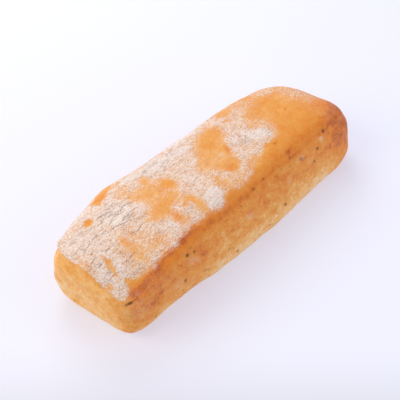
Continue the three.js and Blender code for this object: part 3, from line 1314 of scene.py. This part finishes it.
        wiggle = add_node(tree, "TexNoise", self.crack_wiggle.on(place))
        wiggling = {0: wiggle, 1: self.crack_wander, 2: self.painted(tree, Paint.CRACK_ASIDE)}
        aside = add_node(tree, "Math", wiggling, operation="MULTIPLY_ADD")
        aside = add_node(tree, "Math", {0: aside, 1: self.crack_wander / 2}, operation="SUBTRACT")
        aside = add_node(tree, "Math", {0: aside}, operation="ABSOLUTE")
        split = add_node(tree, "MapRange", self.crack_line.of(aside), interpolation_type="SMOOTHSTEP")
        opening = self.painted(tree, Paint.CRACK)
        single = add_node(tree, "Math", {0: split, 1: opening}, operation="MULTIPLY")
        return add_node(tree, "Math", {0: fine, 1: single}, operation="MAXIMUM")

    def crust_colour(self, tree: bpy.types.NodeTree, place: Any) -> Any:
        """Colours the bare crust by how far it is baked.

        Args:
            tree: The material's node tree.
            place: Object coordinates.

        Returns:
            The colour of the bare crust.
        """
        mottle = add_node(tree, "TexNoise", self.mottle.on(place))
        freckle = add_node(tree, "TexNoise", self.freckle.on(place))
        fleck = add_node(tree, "TexNoise", self.fleck.on(place))
        bake = self.painted(tree, Paint.BAKE_AND_SHADE)
        unevenness = self.painted(tree, Paint.MOTTLE)
        fine = add_node(tree, "Math", {0: freckle, 1: fleck}, operation="ADD")
        fine = add_node(tree, "Math", {0: fine, 1: 1.0}, operation="SUBTRACT")
        mottling = {0: mottle, 1: self.mottle_gain, 2: bake}
        mottled = add_node(tree, "Math", mottling, operation="MULTIPLY_ADD")
        freckling = {0: fine, 1: unevenness, 2: mottled}
        freckled = add_node(tree, "Math", freckling, operation="MULTIPLY_ADD")
        centred = add_node(tree, "Math", {0: freckled, 1: self.mottle_middle}, operation="SUBTRACT")
        baked = add_node(tree, "ValToRGB", {"Fac": centred})
        stops = baked.node.color_ramp.elements
        while len(stops) < len(self.shades):
            stops.new(1.0)
        for stop, (position, colour) in zip(stops, self.shades):
            stop.position = position
            stop.color = linear(colour)
        return self.laid_over(tree, baked, linear(self.blush), self.painted(tree, Paint.PALE))

    @staticmethod
    def laid_over(tree: bpy.types.NodeTree, under: Any, over: Any, share: Any) -> Any:
        """Lays one colour over another by the given share."""
        return add_node(tree, "Mix", {0: share, 6: under, 7: over}, 2, data_type="RGBA")

    def floured_colour(
        self, tree: bpy.types.NodeTree, crust: Any, flour: Any, cover: Any, crease: Any
    ) -> Any:
        """Lays the flour, the creases and the pits over the bare crust, with painted shade between the
        flour's grains and in the creases.

        Args:
            tree: The material's node tree.
            crust: Colour of the bare crust.
            flour: How densely the flour lies, from 0 to 1.
            cover: How much of the crust the flour hides.
            crease: Where the creases and cracks are.

        Returns:
            The finished colour of the skin.
        """
        # Painted shade: the crust between the flour's grains is darkened to tan.
        gap_shade_share = add_node(tree, "MapRange", self.gap_shade_share.of(flour))
        crust_with_gap_shade = self.laid_over(tree, crust, linear(self.grain_gap_shade_tan), gap_shade_share)
        chalk = self.laid_over(tree, linear(self.thin_flour), linear(self.thick_flour), cover)
        hiding = add_node(tree, "MapRange", self.hiding.of(cover))
        floured = self.laid_over(tree, crust_with_gap_shade, chalk, hiding)
        # Painted shade: the creases are darkened over the crust that shows in them.
        depth = add_node(tree, "MapRange", self.crease_shade_share.of(crease))
        creased = self.laid_over(tree, floured, linear(self.crease_crust_and_shade_tan), depth)
        pit = self.painted(tree, Paint.PIT)
        return self.laid_over(tree, creased, linear(self.pit_brown), pit)

    def relief(
        self, tree: bpy.types.NodeTree, place: Any, flour: Any, cover: Any, crease: Any, wrinkle: Any
    ) -> Any:
        """Folds the skin, raises the flour over it, cuts the creases in and blisters the bare crust.

        Args:
            tree: The material's node tree.
            place: Object coordinates.
            flour: How densely the flour lies, from 0 to 1.
            cover: How much of the crust the flour hides.
            crease: Where the creases and cracks are.
            wrinkle: Height of the skin's wrinkles.

        Returns:
            The normal to shade with.
        """
        share = add_node(tree, "MapRange", self.fold_share.of(flour))
        folded = add_node(tree, "Math", {0: wrinkle, 1: share}, operation="MULTIPLY")
        folds = {"Height": folded, "Distance": self.fold_height * MM}
        normal = add_node(tree, "Bump", folds, "Normal")
        raised = {"Height": cover, "Distance": self.flour_height * MM, "Normal": normal}
        normal = add_node(tree, "Bump", raised, "Normal")
        cut = {"Height": crease, "Distance": self.crease_cut * MM, "Normal": normal}
        normal = add_node(tree, "Bump", cut, "Normal", invert=True)
        blister = add_node(tree, "TexNoise", self.blister.on(place))
        blistered = {"Height": blister, "Distance": self.blister_height * MM, "Normal": normal}
        return add_node(tree, "Bump", blistered, "Normal")


@dataclass
class Loaf:
    """The whole baked loaf: its form, its sculpted crust and its painting."""

    NODE: ClassVar[str] = "loaf"
    BODY: ClassVar[str] = "root"
    SLOT: ClassVar[str] = "crust"
    SAME_LINE: ClassVar[float] = 1e-4  # points of the blank nearer than this are on one line

    facets: tuple[int, int, int] = (270, 98, 58)
    form: LoafForm = LoafForm()
    sculpting: Sculpting = Sculpting()
    dusting: FlourDusting = FlourDusting()
    browning: Browning = Browning()
    blemishes: Blemishes = Blemishes()
    crust: FlouredCrust = FlouredCrust()
    mesh: bpy.types.Mesh = field(init=False)
    piece: bpy.types.Object = field(init=False)

    def build(self) -> None:
        """Builds the loaf, sculpts and paints its crust, and hands it to the frame."""
        self.mesh = self.blank_mesh()
        self.shape_and_paint()
        self.piece = bpy.data.objects.new("ciabatta_loaf", self.mesh)
        bpy.context.collection.objects.link(self.piece)
        self.mesh.materials.append(self.crust.build())
        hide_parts(self.NODE)
        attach(self.piece, self.BODY)

    def blank_mesh(self) -> bpy.types.Mesh:
        """Makes the blank: a cube from -1 to 1 whose faces are fine grids.

        Returns:
            The mesh of the blank, smooth shaded.
        """
        blank = bmesh.new()
        bmesh.ops.create_cube(blank, size=2.0)
        for axis, facets in enumerate(self.facets):
            others = [other for other in range(3) if other != axis]
            edges = [
                edge
                for edge in blank.edges
                if all(abs(edge.verts[0].co[o] - edge.verts[1].co[o]) < self.SAME_LINE for o in others)
            ]
            bmesh.ops.subdivide_edges(blank, edges=edges, cuts=facets - 1, use_grid_fill=True)
        for face in blank.faces:
            face.smooth = True
        mesh = bpy.data.meshes.new("ciabatta_loaf")
        blank.to_mesh(mesh)
        blank.free()
        return mesh

    def shape_and_paint(self) -> None:
        """Gives the blank the loaf's form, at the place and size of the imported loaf, and finishes it."""
        surface = CrustSurface(self.mesh)
        surface.move_to(self.form.place(surface.blank, *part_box(self.NODE)))
        self.sculpting.sculpt(surface, self.form)
        surface.store(Paint.FLOUR, self.dusting.density(surface, self.form))
        surface.store(Paint.BAKE_AND_SHADE, self.browning.bake(surface))
        self.blemishes.mark(surface)


@dataclass(frozen=True)
class StudioFloor:
    """Seamless milk-white acrylic floor with a faint painted glow, which keeps the shadows pale."""

    half_width: float = 3.0
    colour: int = 0xC0C5C6
    roughness: float = 0.8
    glow: int = 0xE9E8FF

    # The painted glow fades towards the front, standing in for the light falling off there: its strength by
    # the way back from the loaf, in metres.
    way_back: tuple[float, float, float] = (0.729, 0.684, 0.0)
    glow_strength: Span = Span(-0.24, -0.12, 0.15, 0.44)

    def build(self) -> bpy.types.Object:
        """Makes the floor under the loaf.

        Returns:
            The floor's object, marked as part of the stage.
        """
        sheet = bmesh.new()
        bmesh.ops.create_grid(sheet, x_segments=1, y_segments=1, size=self.half_width)
        mesh = bpy.data.meshes.new("studio_floor")
        sheet.to_mesh(mesh)
        sheet.free()
        material = bpy.data.materials.new("milk_white_floor_with_painted_glow")
        material.use_nodes = True
        tree = material.node_tree
        shader = tree.nodes["Principled BSDF"]
        shader.inputs["Base Color"].default_value = linear(self.colour)
        shader.inputs["Roughness"].default_value = self.roughness
        # Painted light: the floor glows as if lit, which keeps the shadows pale.
        shader.inputs["Emission Color"].default_value = linear(self.glow)
        place = add_node(tree, "TexCoord", {}, "Object")
        axes = {0: place, 1: self.way_back}
        depth = add_node(tree, "VectorMath", axes, "Value", operation="DOT_PRODUCT")
        glow = add_node(tree, "MapRange", self.glow_strength.of(depth), interpolation_type="SMOOTHSTEP")
        tree.links.new(glow, shader.inputs["Emission Strength"])
        mesh.materials.append(material)
        floor = bpy.data.objects.new("studio_floor", mesh)
        bpy.context.collection.objects.link(floor)
        return floor


@dataclass(frozen=True)
class SoftBox:
    """One square soft box that shines at the loaf, with its side and place in metres and power in watts."""

    name: str
    side: float
    power: float
    colour: int
    place: tuple[float, float, float]

    def build(self) -> bpy.types.Object:
        """Hangs the soft box at its place.

        Returns:
            The soft box's object.
        """
        lamp = bpy.data.lights.new(self.name, "AREA")
        lamp.shape = "SQUARE"
        lamp.size = self.side
        lamp.energy = self.power
        lamp.color = linear(self.colour)[:3]
        box = bpy.data.objects.new(self.name, lamp)
        box.location = self.place
        box.rotation_euler = (-Vector(self.place)).to_track_quat("-Z", "Y").to_euler()
        bpy.context.collection.objects.link(box)
        return box


@dataclass(frozen=True)
class StudioLight:
    """Soft studio light: a cool tent, a warm key past the near end, a back light and a front fill."""

    tent_colour: int = 0xE8E9FC
    tent_strength: float = 0.72
    key: SoftBox = SoftBox("key_soft_box", 1.0, 8.1, 0xFFECCE, (-1.00, 0.50, 0.92))
    back: SoftBox = SoftBox("back_soft_box", 0.6, 3.3, 0xFAF8FF, (0.30, 0.66, 0.70))
    fill: SoftBox = SoftBox("front_fill_soft_box", 1.0, 3.2, 0xFFEEDC, (0.70, -1.05, 0.58))

    def build(self) -> list[bpy.types.Object]:
        """Makes the tent and hangs the soft boxes.

        Returns:
            The objects of the soft boxes.
        """
        world = bpy.data.worlds.new("studio_tent")
        world.use_nodes = True
        background = world.node_tree.nodes["Background"]
        background.inputs["Color"].default_value = linear(self.tent_colour)
        background.inputs["Strength"].default_value = self.tent_strength
        bpy.context.scene.world = world
        return [box.build() for box in (self.key, self.back, self.fill)]


@dataclass(frozen=True)
class StudioCamera:
    """Camera with a long lens that looks down along the loaf from its near front corner, in mm."""

    azimuth: float = -46.83
    elevation: float = 46.67
    distance: float = 832.6
    lens: float = 93.86
    sensor: float = 36.0
    aim_x: float = -6.1
    aim_y: float = 5.0
    aim_height_share: float = 0.36

    def build(self) -> bpy.types.Object:
        """Makes the camera and sets it as the scene's own.

        Returns:
            The camera's object.
        """
        low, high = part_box(Loaf.NODE)
        middle = (Vector(low) + Vector(high)) / 2
        aim_height = low[2] + (high[2] - low[2]) * self.aim_height_share
        aim = Vector((middle[0] + self.aim_x * MM, middle[1] + self.aim_y * MM, aim_height))
        azimuth = math.radians(self.azimuth)
        elevation = math.radians(self.elevation)
        level = math.cos(elevation)
        back = Vector((math.sin(azimuth) * level, -math.cos(azimuth) * level, math.sin(elevation)))
        lens = bpy.data.cameras.new("studio_camera")
        lens.lens = self.lens
        lens.sensor_width = self.sensor
        camera = bpy.data.objects.new("studio_camera", lens)
        camera.location = aim + back * self.distance * MM
        camera.rotation_euler = Euler((math.pi / 2 - elevation, 0, azimuth))
        bpy.context.collection.objects.link(camera)
        bpy.context.scene.camera = camera
        return camera


def main() -> None:
    """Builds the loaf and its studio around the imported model."""
    logging.basicConfig(level=logging.INFO)
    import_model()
    LOG.info("camera: %s", StudioCamera().build().name)
    LOG.info("floor: %s", StudioFloor().build().name)
    LOG.info("light: %s", ", ".join(box.name for box in StudioLight().build()))
    bpy.context.scene.view_settings.view_transform = "Standard"
    loaf = Loaf()
    loaf.build()
    LOG.info("%s: %d points", loaf.piece.name, len(loaf.mesh.vertices))


if __name__ == "__main__":
    main()
